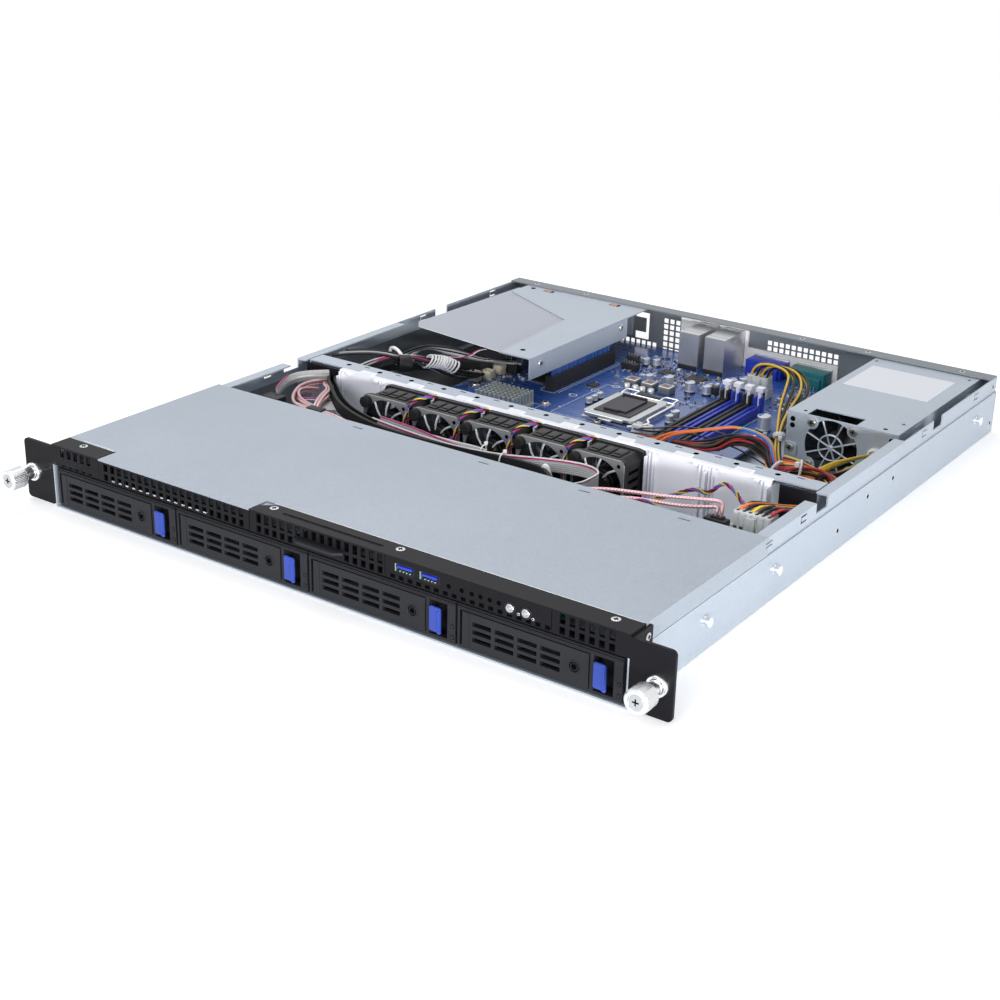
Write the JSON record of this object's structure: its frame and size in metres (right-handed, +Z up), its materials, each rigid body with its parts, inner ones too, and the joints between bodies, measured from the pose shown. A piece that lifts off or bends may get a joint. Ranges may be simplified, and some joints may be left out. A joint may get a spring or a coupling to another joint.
{
  "type": "rack server",
  "caption": "Low rack-mount server, rear lid off: hot-swap drive trays in front, a fan row, an open mainboard with riser and a power supply.",
  "frame": {"origin": "middle of the footprint, on the floor the server stands on", "axes": "+X to the right seen from the front, +Y to the back, +Z up"},
  "size_m": [0.4826, 0.549, 0.043],
  "materials": {
    "galvanised_steel": "galvanised sheet",
    "black_steel": "satin black powder coat",
    "bright_steel": "bright plated",
    "chromed_cap": "chromed plastic",
    "green_board": "solder mask",
    "blue_board": "solder mask",
    "white_plastic": "moulded",
    "black_plastic": "moulded",
    "blue_plastic": "moulded",
    "anodised_aluminium": "plain",
    "tan_foam": "conductive foam",
    "wire_jacket": "vinyl",
    "grey_film": "film"
  },
  "bodies": {
    "base": {"chassis_tray": "galvanised_steel", "rear_panel": "galvanised_steel", "front_cover": "galvanised_steel", "front_panel": "black_steel", "optical_bay_blank": "black_steel", "drive_cage": "galvanised_steel", "left_ear": "black_steel", "right_ear": "black_steel", "rail_studs": "bright_steel", "backplane": "green_board", "front_io_board": "green_board", "fan_bar": "galvanised_steel", "fan_bracket": "white_plastic", "fan_frames": "black_plastic", "mainboard": "blue_board", "cpu_socket": "bright_steel", "memory_slots": "black_plastic", "expansion_slot": "black_plastic", "riser_card": "blue_board", "riser_bracket": "galvanised_steel", "riser_film": "grey_film", "chipset_heatsink": "anodised_aluminium", "port_stacks": "bright_steel", "flat_ports": "blue_plastic", "port_gasket": "tan_foam", "board_parts": "anodised_aluminium", "power_supply": "galvanised_steel", "power_plugs": "white_plastic", "power_harness": "wire_jacket", "signal_cables": "black_plastic"},
    "left_thumbscrew": {"left_thumbscrew": "bright_steel"},
    "right_thumbscrew": {"right_thumbscrew": "bright_steel"},
    "tray_1": {"drive_tray_1": "black_plastic"},
    "handle_1": {"tray_handle_1": "black_plastic"},
    "latch_1": {"tray_latch_1": "blue_plastic"},
    "tray_2": {"drive_tray_2": "black_plastic"},
    "handle_2": {"tray_handle_2": "black_plastic"},
    "latch_2": {"tray_latch_2": "blue_plastic"},
    "tray_3": {"drive_tray_3": "black_plastic"},
    "handle_3": {"tray_handle_3": "black_plastic"},
    "latch_3": {"tray_latch_3": "blue_plastic"},
    "tray_4": {"drive_tray_4": "black_plastic"},
    "handle_4": {"tray_handle_4": "black_plastic"},
    "latch_4": {"tray_latch_4": "blue_plastic"},
    "power_button": {"power_button": "chromed_cap"},
    "id_button": {"id_button": "chromed_cap"},
    "tag": {"info_tag": "black_plastic"},
    "rotor_1": {"fan_rotor_1": "black_plastic"},
    "rotor_2": {"fan_rotor_2": "black_plastic"},
    "rotor_3": {"fan_rotor_3": "black_plastic"},
    "rotor_4": {"fan_rotor_4": "black_plastic"},
    "rotor_5": {"fan_rotor_5": "black_plastic"},
    "power_rotor": {"supply_rotor": "black_plastic"},
    "lever": {"socket_lever": "bright_steel"},
    "load_plate": {"socket_load_plate": "bright_steel", "socket_cap": "black_plastic"},
    "memory_latch_1": {"memory_latch_1": "white_plastic"},
    "memory_latch_2": {"memory_latch_2": "white_plastic"},
    "memory_latch_3": {"memory_latch_3": "white_plastic"},
    "memory_latch_4": {"memory_latch_4": "white_plastic"}
  },
  "joints": [
    {"name": "left_thumbscrew_turn", "type": "hinge", "parent": "base", "child": "left_thumbscrew", "pos_m": [-0.23255, -0.2565, 0.0203], "axis": [0, 1, 0], "continuous": true},
    {"name": "right_thumbscrew_turn", "type": "hinge", "parent": "base", "child": "right_thumbscrew", "pos_m": [0.23255, -0.2565, 0.0203], "axis": [0, 1, 0], "continuous": true},
    {"name": "tray_1_slide", "type": "slide", "parent": "base", "child": "tray_1", "axis": [0, -1, 0], "range_m": [0, 0.165]},
    {"name": "handle_1_hinge", "type": "hinge", "parent": "tray_1", "child": "handle_1", "pos_m": [-0.2066, -0.2485, 0.0141], "axis": [0, 0, -1], "range_deg": [0, 70]},
    {"name": "latch_1_slide", "type": "slide", "parent": "tray_1", "child": "latch_1", "axis": [1, 0, 0], "range_m": [0, 0.003], "stiffness_N_per_m": 300},
    {"name": "tray_2_slide", "type": "slide", "parent": "base", "child": "tray_2", "axis": [0, -1, 0], "range_m": [0, 0.165]},
    {"name": "handle_2_hinge", "type": "hinge", "parent": "tray_2", "child": "handle_2", "pos_m": [-0.1005, -0.2485, 0.0141], "axis": [0, 0, -1], "range_deg": [0, 70]},
    {"name": "latch_2_slide", "type": "slide", "parent": "tray_2", "child": "latch_2", "axis": [1, 0, 0], "range_m": [0, 0.003], "stiffness_N_per_m": 300},
    {"name": "tray_3_slide", "type": "slide", "parent": "base", "child": "tray_3", "axis": [0, -1, 0], "range_m": [0, 0.165]},
    {"name": "handle_3_hinge", "type": "hinge", "parent": "tray_3", "child": "handle_3", "pos_m": [0.0056, -0.2485, 0.0141], "axis": [0, 0, -1], "range_deg": [0, 70]},
    {"name": "latch_3_slide", "type": "slide", "parent": "tray_3", "child": "latch_3", "axis": [1, 0, 0], "range_m": [0, 0.003], "stiffness_N_per_m": 300},
    {"name": "tray_4_slide", "type": "slide", "parent": "base", "child": "tray_4", "axis": [0, -1, 0], "range_m": [0, 0.165]},
    {"name": "handle_4_hinge", "type": "hinge", "parent": "tray_4", "child": "handle_4", "pos_m": [0.1117, -0.2485, 0.0141], "axis": [0, 0, -1], "range_deg": [0, 70]},
    {"name": "latch_4_slide", "type": "slide", "parent": "tray_4", "child": "latch_4", "axis": [1, 0, 0], "range_m": [0, 0.003], "stiffness_N_per_m": 300},
    {"name": "power_button_press", "type": "slide", "parent": "base", "child": "power_button", "axis": [0, 1, 0], "range_m": [0, 0.0012], "stiffness_N_per_m": 400},
    {"name": "id_button_press", "type": "slide", "parent": "base", "child": "id_button", "axis": [0, 1, 0], "range_m": [0, 0.0012], "stiffness_N_per_m": 400},
    {"name": "tag_slide", "type": "slide", "parent": "base", "child": "tag", "axis": [0, -1, 0], "range_m": [0, 0.05]},
    {"name": "fan_1_spin", "type": "hinge", "parent": "base", "child": "rotor_1", "pos_m": [-0.1075, -0.0335, 0.021], "axis": [0, 1, 0], "continuous": true},
    {"name": "fan_2_spin", "type": "hinge", "parent": "base", "child": "rotor_2", "pos_m": [-0.064, -0.0335, 0.021], "axis": [0, 1, 0], "continuous": true},
    {"name": "fan_3_spin", "type": "hinge", "parent": "base", "child": "rotor_3", "pos_m": [-0.0205, -0.0335, 0.021], "axis": [0, 1, 0], "continuous": true},
    {"name": "fan_4_spin", "type": "hinge", "parent": "base", "child": "rotor_4", "pos_m": [0.023, -0.0335, 0.021], "axis": [0, 1, 0], "continuous": true},
    {"name": "fan_5_spin", "type": "hinge", "parent": "base", "child": "rotor_5", "pos_m": [0.0665, -0.0335, 0.021], "axis": [0, 1, 0], "continuous": true},
    {"name": "supply_fan_spin", "type": "hinge", "parent": "base", "child": "power_rotor", "pos_m": [0.158, 0.1195, 0.02125], "axis": [0, 1, 0], "continuous": true},
    {"name": "socket_lever_hinge", "type": "hinge", "parent": "base", "child": "lever", "pos_m": [-0.007, 0.14, 0.0121], "axis": [-1, 0, 0], "range_deg": [0, 120]},
    {"name": "load_plate_hinge", "type": "hinge", "parent": "base", "child": "load_plate", "pos_m": [-0.007, 0.14, 0.0121], "axis": [-1, 0, 0], "range_deg": [0, 90]},
    {"name": "memory_latch_1_hinge", "type": "hinge", "parent": "base", "child": "memory_latch_1", "pos_m": [0.0428, 0.1735, 0.0136], "axis": [-1, 0, 0], "range_deg": [0, 25]},
    {"name": "memory_latch_2_hinge", "type": "hinge", "parent": "base", "child": "memory_latch_2", "pos_m": [0.052, 0.1735, 0.0136], "axis": [-1, 0, 0], "range_deg": [0, 25]},
    {"name": "memory_latch_3_hinge", "type": "hinge", "parent": "base", "child": "memory_latch_3", "pos_m": [0.0612, 0.1735, 0.0136], "axis": [-1, 0, 0], "range_deg": [0, 25]},
    {"name": "memory_latch_4_hinge", "type": "hinge", "parent": "base", "child": "memory_latch_4", "pos_m": [0.0704, 0.1735, 0.0136], "axis": [-1, 0, 0], "range_deg": [0, 25]}
  ],
  "couplings": [
    {"joint": "load_plate_hinge", "follows": "socket_lever_hinge", "ratio": 0.75}
  ]
}
